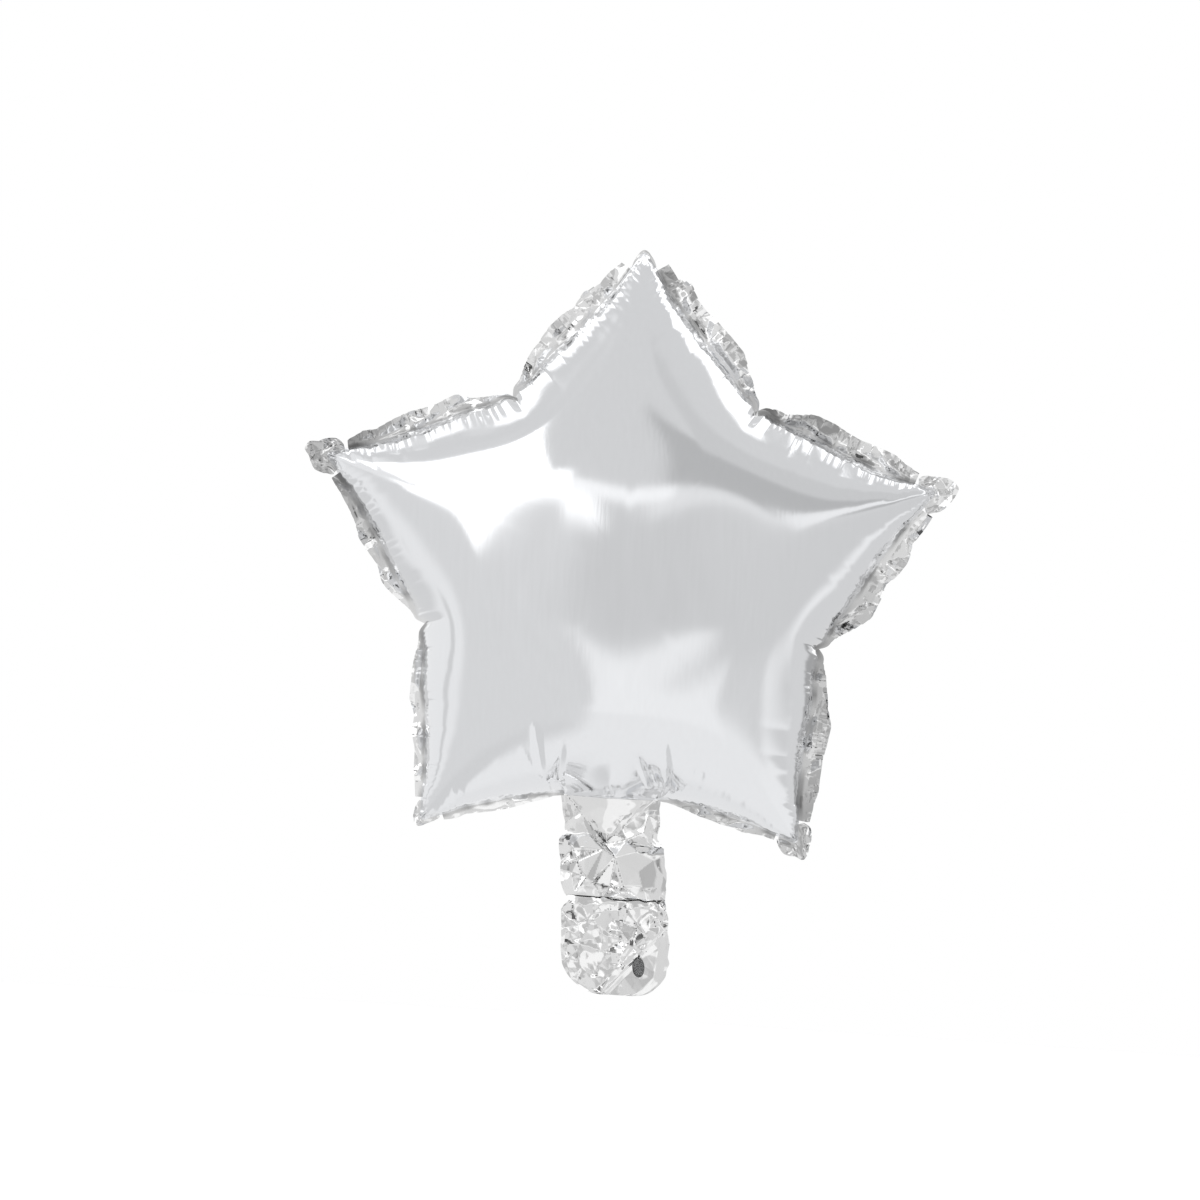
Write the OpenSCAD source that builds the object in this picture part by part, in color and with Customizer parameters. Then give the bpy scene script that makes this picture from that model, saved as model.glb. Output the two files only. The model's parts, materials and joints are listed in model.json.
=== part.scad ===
// Self-sealing foil star balloon, inflated, with its inflation tail hanging below.
// Origin: the middle of the neck, where the tail leaves the star and a ribbon is tied.
// +Z is up through the top arm, -Y is the front face.

/* [Star] */
// Distance from the star's centre to the point that two arm edges would meet at
apex_r = 115; // [105:1:125]
// Distance from the star's centre to the seam in a notch between two arms
notch_r = 73; // [70:0.5:75]
// How far each arm edge bows inwards once the foil is inflated
edge_bow = 3.6; // [0:0.2:6]
// Share of each edge that stays straight before the arm's round end begins
edge_share = 0.87; // [0.8:0.01:0.92]
// Height of the star's centre above the neck
centre_h = 77; // [76.5:0.5:78]
// Height of each foil dome above the seam plane
half_depth = 46; // [35:1:52]

/* [Foil] */
// Drawn thickness of one foil sheet
foil_t = 0.15; // [0.1:0.05:0.3]
// Width of the welded margin outside the seam
margin_w = 9; // [6:0.5:11]

/* [Tail] */
// Width of the tail between the neck and the pleat
neck_w = 34; // [30:1:36]
// Width of the leaf below the pleat
leaf_w = 37; // [34:1:39]
// Length from the neck to the pleat
neck_len = 33; // [28:1:38]
// Length from the pleat to the tail's end
leaf_len = 34; // [28:1:38]
// Corner radius of the tail's end
leaf_round = 13; // [8:1:15]
// Sideways lean of the tail in the star's plane, in degrees
tail_lean = 5; // [0:1:6]
// Width of the weld along the tail's edges
weld_w = 3; // [2:0.5:4]

/* [Valve] */
// Radius of the punched fill hole
hole_r = 3; // [2.5:0.25:4]
// Distance of the fill hole to the right of the tail's middle
hole_x = 8; // [4:1:9]
// Distance of the fill hole below the neck
hole_drop = 56; // [50:1:58]
// Thickness of one valve film
film_t = 0.1; // [0.05:0.05:0.15]
// Width of the valve films
film_w = 27; // [22:1:27]
// Length of the valve films inside the star
film_len = 38; // [25:1:45]

/* [Hidden] */
$fn = 64;
tail_gap = 0.35;                    // half the space between the tail's two sheets
film_gap = 0.1;                     // half the space between the two valve films
half_tail = tail_gap + foil_t;      // half the tail's overall thickness
crease_gap = 0.05;                  // clearance beside a crease that folds
film_clear = 0.2;                   // clearance of the star's films over its open rim
film_side_clear = 1;                // clearance of the leaf's films beside its weld
tiny = 0.01;                        // overlap that joins two shapes, and a rounding allowance
neck_z = half_tail + crease_gap;    // height of the star's open rim at the neck
mouth_half = 19;                    // the seam is open at the neck this far each side of its middle
edge_steps = 9;                     // facets along one arm edge
cap_steps = 3;                      // facets round half an arm's end
rings = 12;                         // facets from the centre of a dome to its seam
crown_power = 2.68;                 // how flat a dome's crown is towards a notch
crown_ridge = 0.7;                  // how much less flat it is along an arm's ridge
flank_power = 0.5;                  // how steeply a dome meets the seam in a notch: 0.5 is a round edge
flank_tip = 0.34;                   // added at an arm's tip, where the foil meets it in a wedge
mouth_blend = 3;                    // length over which the neck's mouth closes into the seam
mouth_fade = 6;                     // how soon the mouth's opening fades inwards from the seam
pinch = 0.25;                       // width left of the margin in a notch
pinch_rate = 2.2;                   // how soon the margin is whole again on its way to the tip
inner_scale = 1 - foil_t / notch_r; // in-plane scale of a dome's inner face
silver = [0.86, 0.87, 0.89];
crumple_silver = [0.74, 0.75, 0.78];
film_white = [0.93, 0.94, 0.95, 0.6];

ARMS = ["top", "upper_left", "lower_left", "lower_right", "upper_right"];

// ---- seam outline: one arm lies along +X, [x, y, share of the way from notch to tip] ----

notch_pt = notch_r * [cos(36), sin(36)];
apex_pt = [apex_r, 0];
edge_dir = (apex_pt - notch_pt) / norm(apex_pt - notch_pt);
edge_normal = [-edge_dir[1], edge_dir[0]];

function edge_pt(t) =
    notch_pt + t * (apex_pt - notch_pt) - 4 * edge_bow * t * (1 - t) * edge_normal;

// the arm's end is an arc that leaves each edge along the edge's own direction
cap_edge = edge_pt(edge_share);
cap_tangent = (apex_pt - notch_pt) - 4 * edge_bow * (1 - 2 * edge_share) * edge_normal;
cap_angle = atan2(-cap_tangent[1], cap_tangent[0]);
cap_r = cap_edge[1] / cos(cap_angle);
cap_x = cap_edge[0] - cap_r * sin(cap_angle);

function cap_pt(a) = [cap_x + cap_r * cos(a), cap_r * sin(a)];

half_arm = [
    for (i = [0:edge_steps])
        let (t = edge_share * i / edge_steps, p = edge_pt(t)) [p[0], p[1], t],
    for (i = [1:cap_steps])
        let (f = i / cap_steps, p = cap_pt((90 - cap_angle) * (1 - f)))
            [p[0], p[1], edge_share + (1 - edge_share) * f]
];
half_n = len(half_arm) - 1;
arm_n = 2 * half_n;

// one arm's seam, from the notch on its right to just before the notch on its left
arm = [
    for (i = [0:half_n]) [half_arm[i][0], -half_arm[i][1], half_arm[i][2]],
    for (i = [half_n - 1:-1:1]) half_arm[i]
];

function arm_angle(k) = 90 + 72 * k;
function turned(p, a) =
    [p[0] * cos(a) - p[1] * sin(a), p[0] * sin(a) + p[1] * cos(a), p[2]];

// the neck cuts straight across the bottom notch
neck_drop = centre_h - neck_z;
function at_neck(p) = p[1] < 0 && abs(p[0]) < mouth_half && -p[1] < neck_drop;
function with_neck(p) =
    at_neck(p) ? [p[0] * neck_drop / -p[1], -neck_drop, p[2]] : p;

outline = [for (k = [0:4]) for (p = arm) with_neck(turned(p, arm_angle(k)))];
count = len(outline);

// ---- domes ----

// height of a dome over the seam plane, as a share of its greatest height
// s runs from the centre to the seam, and t from a notch to an arm's tip
function swell(s, t) =
    let (
        u = min(1, t / edge_share),
        crown = crown_power - crown_ridge * sin(90 * u),
        flank = flank_power + flank_tip * pow(u, 2)
    )
    pow(1 - pow(s, crown), flank);

// half the opening between the two panels at an outline point: zero along the weld
function mouth(p) =
    abs(p[0]) < mouth_half && abs(p[1] + neck_drop) < tiny
        ? tail_gap * min(1, (mouth_half - abs(p[0])) / mouth_blend) : 0;

function ring_s(i) = sin(90 * i / rings);

function dome_pt(i, j, inner) =
    let (
        p = outline[j % count],
        s = ring_s(i),
        m = mouth(p) * pow(s, mouth_fade),
        rim = max(foil_t, m + (inner ? 0 : min(foil_t, m))),
        k = inner ? inner_scale : 1
    )
    [
        p[0] * s * k,
        -rim - (half_depth - (inner ? foil_t : 0)) * swell(s, p[2]),
        centre_h + p[1] * s * k
    ];

// points of one skin: its middle, then ring after ring out to the seam
function skin(inner) = [
    [0, -foil_t - half_depth + (inner ? foil_t : 0), centre_h],
    for (i = [1:rings]) for (j = [0:count - 1]) dome_pt(i, j, inner)
];
function at(i, j) = 1 + (i - 1) * count + j % count;

skin_faces = [
    for (j = [0:count - 1]) [0, at(1, j + 1), at(1, j)],
    for (i = [1:rings - 1]) for (j = [0:count - 1])
        each [[at(i, j), at(i, j + 1), at(i + 1, j)],
              [at(i, j + 1), at(i + 1, j + 1), at(i + 1, j)]]
];
skin_n = 1 + rings * count;

module dome() {
    polyhedron(
        points = concat(skin(false), skin(true)),
        faces = concat(
            skin_faces,
            [for (f = skin_faces) [f[0] + skin_n, f[2] + skin_n, f[1] + skin_n]],
            [for (j = [0:count - 1]) each [
                [at(rings, j), at(rings, j + 1), at(rings, j) + skin_n],
                [at(rings, j + 1), at(rings, j + 1) + skin_n, at(rings, j) + skin_n]]]
        ));
}

module front_panel() {
    color(silver) dome();
}

module rear_panel() {
    color(silver) mirror([0, 1, 0]) dome();
}

// ---- welded margin outside the seam, two sheets thick ----

// how wide the margin is at a share t of the way from notch to tip: pinched in the notch
function margin_at(t) = margin_w * (pinch + (1 - pinch) * sin(90 * min(1, t * pinch_rate)));

// the point that lies w outside the seam at outline point j
function outside(j, w) =
    let (
        a = outline[(j + count - 1) % count],
        b = outline[(j + 1) % count],
        d = [b[0] - a[0], b[1] - a[1]],
        n = [d[1], -d[0]] / norm(d),
        p = outline[j % count]
    )
    [p[0] + w * n[0], p[1] + w * n[1]];

module margin_shape(from, to) {
    polygon(concat(
        [for (j = [from:to])
            [outline[j % count][0] * inner_scale, outline[j % count][1] * inner_scale]],
        [for (j = [to:-1:from]) outside(j, margin_at(outline[j % count][2]))]
    ));
}

module in_seam_plane(thickness) {
    translate([0, thickness / 2, centre_h])
        rotate([90, 0, 0])
            linear_extrude(thickness) children();
}

tab_from = half_n - cap_steps;
tab_to = half_n + cap_steps;

module tip_tab(k) {
    color(crumple_silver)
        in_seam_plane(2 * foil_t) margin_shape(k * arm_n + tab_from, k * arm_n + tab_to);
}

// how many outline points on each side of the bottom notch belong to the neck's open mouth
neck_points = len([for (i = [0:half_n]) if (at_neck(turned(arm[i], arm_angle(3)))) i]);

// side 0 runs from the notch on the arm's right to its tip, side 1 on from the tip
module margin(k, side) {
    from = side == 0 ? 0 : tab_to;
    to = side == 0 ? tab_from : arm_n;
    skip_from = k == 3 && side == 0 ? neck_points : 0;
    skip_to = k == 2 && side == 1 ? neck_points : 0;
    color(crumple_silver)
        in_seam_plane(2 * foil_t)
            margin_shape(k * arm_n + from + skip_from, k * arm_n + to - skip_to);
}

// ---- tail: its creases are level, and its sides lean between them ----

function lean_x(z) = -z * tan(tail_lean);

// a flat layer in the tail: its rear face is at y + t
module sheet(y, t) {
    translate([0, y + t, 0]) rotate([90, 0, 0]) linear_extrude(t) children();
}

// a leaning strip of width w, its middle moved sideways by shift
module strip(w, top, bottom, shift = 0) {
    polygon([
        for (corner = [[-1, top], [-1, bottom], [1, bottom], [1, top]])
            [lean_x(corner[1]) + shift + corner[0] * w / 2, corner[1]]
    ]);
}

// a leaning strip with two round lower corners
module leaf_shape(w, top, bottom, r) {
    strip(w, top, bottom + r);
    strip(w - 2 * r, bottom + r + tiny, bottom);
    for (side = [-1, 1])
        translate([lean_x(bottom + r) + side * (w / 2 - r), bottom + r]) circle(r);
}

module fill_hole() {
    translate([lean_x(-hole_drop) + hole_x, -hole_drop]) circle(hole_r);
}

neck_end = -neck_len + neck_z;
leaf_top = -neck_len;
leaf_end = -neck_len - leaf_len;

module neck_front_sheet() {
    color(crumple_silver) sheet(-half_tail, foil_t) strip(neck_w, 0, neck_end);
}

module neck_rear_sheet() {
    color(crumple_silver) sheet(tail_gap, foil_t) strip(neck_w, 0, neck_end);
}

// two bars between the sheets, each with a round top end on the crease
module neck_edge_welds() {
    color(crumple_silver)
        for (side = [-1, 1]) {
            shift = side * (neck_w - weld_w) / 2;
            sheet(-tail_gap, 2 * tail_gap) strip(weld_w, 0, neck_end, shift);
            translate([shift, 0, 0])
                rotate([0, 90, 0]) cylinder(r = tail_gap, h = weld_w, center = true);
        }
}

module leaf_front_sheet() {
    color(crumple_silver) sheet(-half_tail, foil_t) difference() {
        leaf_shape(leaf_w, leaf_top, leaf_end, leaf_round);
        fill_hole();
    }
}

module leaf_rear_sheet() {
    color(crumple_silver) sheet(tail_gap, foil_t)
        leaf_shape(leaf_w, leaf_top, leaf_end, leaf_round);
}

module leaf_edge_weld() {
    color(crumple_silver) sheet(-tail_gap, 2 * tail_gap) difference() {
        leaf_shape(leaf_w, leaf_top, leaf_end, leaf_round);
        leaf_shape(leaf_w - 2 * weld_w, leaf_top + weld_w, leaf_end + weld_w, leaf_round - weld_w);
    }
}

// ---- valve: two thin films between the foil sheets ----

film_y = film_gap + film_t;
film_base = neck_z + film_clear;

module star_film(y) {
    color(film_white) translate([-film_w / 2, y, film_base]) cube([film_w, film_t, film_len]);
}

module neck_film(y) {
    color(film_white) sheet(y, film_t) strip(film_w, -crease_gap, neck_end + crease_gap);
}

module leaf_film_shape() {
    edge = weld_w + film_side_clear / 2;
    w = leaf_w - 2 * (edge + film_side_clear);
    leaf_shape(w, leaf_top - crease_gap, leaf_end + edge, leaf_round - edge);
}

module leaf_film_front() {
    color(film_white) sheet(-film_y, film_t) difference() {
        leaf_film_shape();
        fill_hole();
    }
}

module leaf_film_rear() {
    color(film_white) sheet(film_gap, film_t) leaf_film_shape();
}

// ---- nodes ----

front_panel();
rear_panel();
for (k = [0:4])
    tip_tab(k);
margin(0, 0);  // margin_top_right
margin(0, 1);  // margin_top_left
margin(1, 0);  // margin_upper_left_above
margin(1, 1);  // margin_upper_left_below
margin(2, 0);  // margin_lower_left_outer
margin(2, 1);  // margin_lower_left_inner
margin(3, 0);  // margin_lower_right_inner
margin(3, 1);  // margin_lower_right_outer
margin(4, 0);  // margin_upper_right_below
margin(4, 1);  // margin_upper_right_above
neck_front_sheet();
neck_rear_sheet();
neck_edge_welds();
leaf_front_sheet();
leaf_rear_sheet();
leaf_edge_weld();
star_film(-film_y);  // valve_film_front
star_film(film_gap);  // valve_film_rear
neck_film(-film_y);  // valve_film_front_neck
neck_film(film_gap);  // valve_film_rear_neck
leaf_film_front();  // valve_film_front_leaf
leaf_film_rear();  // valve_film_rear_leaf
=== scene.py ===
"""The looks of an inflated, silver foil star balloon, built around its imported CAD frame.

Sizes are in millimetres until a mesh is made, and angles in degrees where their name says so.
"""
import json
import math

import bmesh
import bpy
import numpy as np
from mathutils import Matrix, Vector, noise
from mathutils.geometry import delaunay_2d_cdt


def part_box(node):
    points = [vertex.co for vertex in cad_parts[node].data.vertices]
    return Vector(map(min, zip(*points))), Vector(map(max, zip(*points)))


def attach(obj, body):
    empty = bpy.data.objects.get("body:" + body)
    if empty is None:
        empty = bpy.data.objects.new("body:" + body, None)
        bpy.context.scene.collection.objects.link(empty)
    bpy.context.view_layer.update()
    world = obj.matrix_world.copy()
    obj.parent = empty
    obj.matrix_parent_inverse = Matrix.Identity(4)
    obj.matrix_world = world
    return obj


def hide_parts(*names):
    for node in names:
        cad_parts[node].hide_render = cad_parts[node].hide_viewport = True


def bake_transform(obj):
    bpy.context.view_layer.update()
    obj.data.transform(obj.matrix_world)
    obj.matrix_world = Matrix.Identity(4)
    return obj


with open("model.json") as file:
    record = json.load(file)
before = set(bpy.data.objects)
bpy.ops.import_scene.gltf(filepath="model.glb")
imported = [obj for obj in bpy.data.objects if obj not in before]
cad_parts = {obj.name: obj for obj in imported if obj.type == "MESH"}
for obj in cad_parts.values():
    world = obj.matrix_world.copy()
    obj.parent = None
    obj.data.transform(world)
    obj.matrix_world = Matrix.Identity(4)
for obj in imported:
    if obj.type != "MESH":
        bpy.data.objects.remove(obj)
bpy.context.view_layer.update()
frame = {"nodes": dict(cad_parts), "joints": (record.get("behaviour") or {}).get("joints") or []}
MM = 0.001

# ---- sizes taken from the frame ----


def mesh_points(node):
    return np.array([v.co for v in frame["nodes"][node].data.vertices]) / MM


PANEL = mesh_points("front_panel")
APEX = PANEL[PANEL[:, 1].argmin()]
CENTRE_Z = APEX[2]                      # height of the star's centre over the neck
HALF_DEPTH = -APEX[1]                   # height of a dome over the seam plane
TIP_R = PANEL[:, 2].max() - CENTRE_Z    # seam radius at an arm's tip
MARGIN_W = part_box("tip_tab_top")[1].z / MM - PANEL[:, 2].max()
NECK_BOX = [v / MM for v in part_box("neck_front_sheet")]
LEAF_BOX = [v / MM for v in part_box("leaf_front_sheet")]
PLEAT_Z = frame["joints"][1]["pos_m"][2] / MM
TAIL_END_Z = LEAF_BOX[0].z
TAIL_LEAN = (NECK_BOX[0].x + NECK_BOX[1].x) / (NECK_BOX[0].z + NECK_BOX[1].z)

# ---- the flat cut: each panel's seam is a pentagon with rounded corners ----

CORNER_R = 124.5                              # from the middle of the flat panel to a corner
APOTHEM = CORNER_R * math.cos(math.pi / 5)    # to the middle of a side, which becomes a notch
SIDE_HALF = CORNER_R * math.sin(math.pi / 5)
ROUND_R = 6.0                                 # corner rounding
ROUND_CUT = ROUND_R / math.tan(math.radians(54))
ROUND_CENTRE = CORNER_R - ROUND_R / math.sin(math.radians(54))
NECK_SIDE = 2                                 # the side whose middle opens into the neck
ARM_NAMES = ["top", "upper_left", "lower_left", "lower_right", "upper_right"]

# ---- inflation ----

LATTICE = 30          # cells along the simulated tenth of a panel
STEPS = 1500
PRESSURE = 0.006
GIVE = 0.01           # foil resists being shortened this much as strongly as being stretched
SOLVES = 6            # stretch corrections in each step
DAMPING = 0.95
HARMONICS = 5         # terms of five-fold symmetry kept in the smooth fit
DEGREE = 26


def inflate():
    """One tenth of a flat panel, inflated: a cable net that resists stretch and hardly resists folding.

    Lattice point (i, j) lies i cells along the side from its middle and j cells inwards from the seam.
    Returns the flat points and the inflated ones: x along the side, y the height, z from the centre."""
    n = LATTICE
    ids = -np.ones((n + 2, n + 2), int)
    cells = [(i, j) for j in range(n + 1) for i in range(n + 1 - j)]
    for k, (i, j) in enumerate(cells):
        ids[i, j] = k
    flat = np.array([(i * SIDE_HALF / n, j * APOTHEM / n) for i, j in cells])
    ties = {}
    for i, j in cells:
        for di, dj, name in ((1, 0, "along"), (0, 1, "inward"), (1, 1, "rising"), (1, -1, "falling")):
            if 0 <= j + dj and ids[i + di, j + dj] >= 0:
                parity = (j if name == "inward" else i) % 2
                ties.setdefault((name, parity), []).append((ids[i, j], ids[i + di, j + dj]))
    groups = []
    for pairs in ties.values():
        a, b = np.array(pairs).T
        groups.append((a, b, np.linalg.norm(flat[a] - flat[b], axis=1)))
    tris = [(ids[i, j], ids[i + 1, j], ids[i, j + 1]) for i, j in cells if i + j < n]
    tris += [(ids[i + 1, j], ids[i + 1, j + 1], ids[i, j + 1]) for i, j in cells if i + j < n - 1]
    tris = np.array(tris)
    e1, e2 = flat[tris[:, 1]] - flat[tris[:, 0]], flat[tris[:, 2]] - flat[tris[:, 0]]
    area = abs(e1[:, 0] * e2[:, 1] - e1[:, 1] * e2[:, 0]) / 2
    mass = sum(np.bincount(tris[:, k], area / 3, len(flat)) for k in range(3))
    seam = ids[: n + 1, 0]
    middle = ids[0, : n + 1]
    ridge = np.array([ids[i, n - i] for i in range(n + 1)])
    across = np.array([APOTHEM, 0, -SIDE_HALF]) / CORNER_R

    x = np.column_stack([flat[:, 0], 0.3 * np.minimum(flat[:, 1], 20), APOTHEM - flat[:, 1]])
    speed = np.zeros_like(x)
    for _ in range(STEPS):
        push = np.cross(x[tris[:, 1]] - x[tris[:, 0]], x[tris[:, 2]] - x[tris[:, 0]]) / 6
        force = np.column_stack(
            [sum(np.bincount(tris[:, k], push[:, c], len(x)) for k in range(3)) for c in range(3)])
        speed = speed * DAMPING + PRESSURE * force / mass[:, None]
        before = x.copy()
        x = x + speed
        for _ in range(SOLVES):
            for a, b, rest in groups:
                d = x[b] - x[a]
                length = np.sqrt((d * d).sum(1)) + 1e-12
                strain = (length - rest) / length
                move = d * (strain * np.where(strain > 0, 0.5, 0.5 * GIVE))[:, None]
                x[a] += move
                x[b] -= move
            x[seam, 1] = 0
            x[middle, 0] = 0
            x[ridge] -= (x[ridge] @ across)[:, None] * across
        speed = x - before
    return flat, x


def harmonics(r, angle, kind):
    """Smooth functions with the star's symmetry at flat polar points: r is 1 at a corner."""
    columns = []
    for k in range(HARMONICS + 1):
        if kind == "height":
            powers = range(5 * k, DEGREE + 1, 2)
        elif k == 0:
            powers = range(1, DEGREE + 1, 2) if kind == "radial" else ()
        else:
            powers = range(5 * k - 1, DEGREE + 1, 2)
        wave = np.sin if kind == "turning" else np.cos
        columns += [r**m * wave(5 * k * angle) for m in powers]
    return np.stack(columns, -1)


def fit_star():
    """Coefficients of the inflated panel as a smooth function of the flat one, scaled to the frame."""
    flat, x = inflate()
    toward_centre = APOTHEM - flat[:, 1]
    angle = math.pi / 5 - np.arctan2(flat[:, 0], toward_centre)
    r = np.hypot(flat[:, 0], toward_centre) / CORNER_R
    plan_r = np.hypot(x[:, 0], x[:, 2])
    turn = math.pi / 5 - np.arctan2(x[:, 0], np.maximum(x[:, 2], 1e-9)) - angle
    turn[plan_r < 1e-6] = 0
    tip = plan_r.max()
    # the fold in the middle of a side is left out here, and pleat_depth makes it
    keep = (flat[:, 0] > 2.5 * SIDE_HALF / LATTICE) | (flat[:, 1] > 0.6 * APOTHEM)
    wanted = {
        "height": x[:, 1] * HALF_DEPTH / x[:, 1].max(),
        "radial": plan_r * np.cos(turn) * TIP_R / tip,
        "turning": plan_r * np.sin(turn) * TIP_R / tip,
    }
    found = {
        kind: np.linalg.lstsq(harmonics(r[keep], angle[keep], kind), v[keep], rcond=1e-6)[0]
        for kind, v in wanted.items()
    }
    round_tip = np.array([(ROUND_CENTRE + ROUND_R) / CORNER_R])
    reach = (harmonics(round_tip, np.zeros(1), "radial") @ found["radial"])[0]
    found["radial"] *= TIP_R / reach
    found["turning"] *= TIP_R / reach
    return found


# ---- a panel's grid: columns run inwards from the seam, rows lie along it ----

FINE_STEP = 0.42        # spacing of the columns along the seam
FIRST_ROW = 0.55        # spacing of the rows at the seam
FINE_ROWS = 24          # rows whose columns are all kept
ROWS = 44


def growth(ratio):
    """k with k / (e^k - 1) = ratio, by halving, or nearly 0 where ratio is 1 or more."""
    low, high = np.full(len(ratio), 1e-4), np.full(len(ratio), 12.0)
    for _ in range(50):
        k = (low + high) / 2
        big = k / np.expm1(k) > ratio
        low, high = np.where(big, k, low), np.where(big, high, k)
    return low


def side_grid():
    """Flat points of one side's part of a panel: from its right-hand corner to its left-hand one.

    Returns along and out, each (columns, rows): the flat place from the panel's centre, out towards the
    side's middle, and q, the distance from the seam, and s, the place along the seam."""
    straight = SIDE_HALF - ROUND_CUT
    n_straight = 2 * round(straight / FINE_STEP / 2)
    n_round = 2 * math.ceil(ROUND_R * math.pi / 5 / FINE_STEP / 2)
    a = np.concatenate([np.linspace(0, straight, n_straight + 1), np.full(n_round, straight)])
    turn = np.concatenate([np.zeros(n_straight + 1), np.linspace(0, math.pi / 5, n_round + 1)[1:]])
    reach = (1 - a / SIDE_HALF) * APOTHEM
    s = a + turn * ROUND_R
    k = growth(FIRST_ROW * ROWS / reach)[:, None]
    q = reach[:, None] * np.expm1(k * np.linspace(0, 1, ROWS + 1)) / np.expm1(k)
    along = a[:, None] + (ROUND_R - q) * np.sin(turn)[:, None]
    out = APOTHEM - q
    round_out = APOTHEM - ROUND_R + (ROUND_R - q) * np.cos(turn)[:, None]
    out = np.where(turn[:, None] > 0, round_out, out)
    mirrored = [-along[:0:-1], out[:0:-1], q[:0:-1], -s[:0:-1], reach[:0:-1]]
    return [np.concatenate([m, v]) for m, v in zip(mirrored, [along, out, q, s, reach])]


def side_faces(columns):
    """Faces of one side's grid, with every other column dropped past FINE_ROWS."""
    def at(i, j):
        return i * (ROWS + 1) + j

    faces = [
        (at(i, j), at(i + 1, j), at(i + 1, j + 1), at(i, j + 1))
        for i in range(columns - 1) for j in range(FINE_ROWS)
    ]
    for i in range(0, columns - 1, 2):
        f, j = FINE_ROWS, FINE_ROWS + 1
        faces += [
            (at(i, f), at(i + 1, f), at(i, j)),
            (at(i + 1, f), at(i + 2, j), at(i, j)),
            (at(i + 1, f), at(i + 2, f), at(i + 2, j)),
        ]
        faces += [
            (at(i, j), at(i + 2, j), at(i + 2, j + 1), at(i, j + 1))
            for j in range(FINE_ROWS + 1, ROWS)
        ]
    return faces


def smooth_step(x):
    x = np.clip(x, 0, 1)
    return x * x * (3 - 2 * x)


def side_angle(side):
    """Direction of a side's middle, from +X towards +Z."""
    return math.radians(126 + 72 * side)


def star_surface(fit, side, along, out, q):
    """The smooth inflated surface of a front panel at flat points of one side."""
    angle = np.arctan2(along, out) + side_angle(side) - math.pi / 2
    r = np.hypot(along, out) / CORNER_R
    height = harmonics(r, angle, "height") @ fit["height"]
    radial = harmonics(r, angle, "radial") @ fit["radial"]
    turning = harmonics(r, angle, "turning") @ fit["turning"]
    height = height - height[:, :1] * np.clip(1 - q / 30, 0, 1) ** 2
    c, s = np.cos(angle + math.pi / 2), np.sin(angle + math.pi / 2)
    return np.stack([radial * c - turning * s, -height, radial * s + turning * c + CENTRE_Z], -1)


# ---- irregular waves along the seam ----


class Pleats:
    """A row of pleats of uneven width: rounded crests between sharp valleys."""

    def __init__(self, seed, length, low, high):
        rng = np.random.default_rng(seed)
        steps = rng.uniform(low, high, int(length / low) + 2)
        self.edges = np.concatenate([[0], np.cumsum(steps)]) - 0.5 * steps.sum()
        self.depth = rng.uniform(0.35, 1.0, len(self.edges))
        self.reach = rng.uniform(0.45, 1.0, len(self.edges))

    def __call__(self, s, q, reach):
        k = np.clip(np.searchsorted(self.edges, s) - 1, 0, len(self.edges) - 2)
        f = (s - self.edges[k]) / (self.edges[k + 1] - self.edges[k])
        near = np.where(f < 0.5, k, k + 1)
        fade = np.clip(1 - q / (reach * self.reach[near]), 0, 1)
        return -self.depth[near] * (1 - np.sin(math.pi * f) ** 0.75) * fade


FINE_PLEATS = [Pleats(10 + k, 190, 1.9, 3.4) for k in range(5)]
BROAD_PLEATS = [Pleats(20 + k, 190, 6.0, 13.0) for k in range(5)]
PLEAT_DEPTH = 0.48      # of the fine pleats beside the seam
PLEAT_REACH = 29.0      # how far they run inwards
BROAD_DEPTH = 0.5
BROAD_REACH = 40.0
NOTCH_DEPTH = 2.6       # of the fold in the middle of a side
NOTCH_HALF = 3.5
NOTCH_REACH = 34.0
SEAM_WAVE = 0.35        # how far the seam wanders out of its plane


def seam_wave(side, s):
    """How far the seam lies behind its plane: both panels and the margin follow it."""
    bends = np.array([noise.noise(Vector((v / 9, 5.3 * side, 0.7))) for v in s])
    return SEAM_WAVE * bends * np.clip((SIDE_HALF + 2 - abs(s)) / 8, 0, 1)


def pleat_depth(side, s, q, reach, seed):
    """Displacement along the outward normal."""
    start = 0.25 + 0.75 * smooth_step(q / 2.5)
    ridge = smooth_step((reach[:, None] - q) / 4)
    columns = np.repeat(s[:, None], q.shape[1], 1)
    fine = FINE_PLEATS[side](columns, q, PLEAT_REACH) * PLEAT_DEPTH
    broad = BROAD_PLEATS[side](columns + 40 * seed, q, BROAD_REACH) * BROAD_DEPTH
    fold = np.clip(1 - abs(columns) / NOTCH_HALF, 0, 1) ** 1.4 * np.clip(1 - q / NOTCH_REACH, 0, 1) ** 1.3
    if side == NECK_SIDE:
        fold = fold * 0
        start = start * smooth_step((abs(columns) - 17) / 8)
    return (fine + broad) * start * ridge - NOTCH_DEPTH * fold


# ---- the neck's mouth, where the two panels run on into the tail ----

MOUTH_HALF = 17.5       # half its width
MOUTH_DEPTH = 10.0      # how far gas swells the front panel there
TONGUE_LEN = 15.5       # the swelling runs this far down the tail, to a point
TONGUE_HALF = 15.0
TONGUE_X = 2.2          # its point is this far to the left
REAR_SHARE = 0.3        # how much of the front's swelling the rear panel has
SHEET_GAP = 0.5         # from the tail's middle to a sheet
MOUTH_REACH = 38.0      # length over which a panel bends from its dome into the tail


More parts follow.
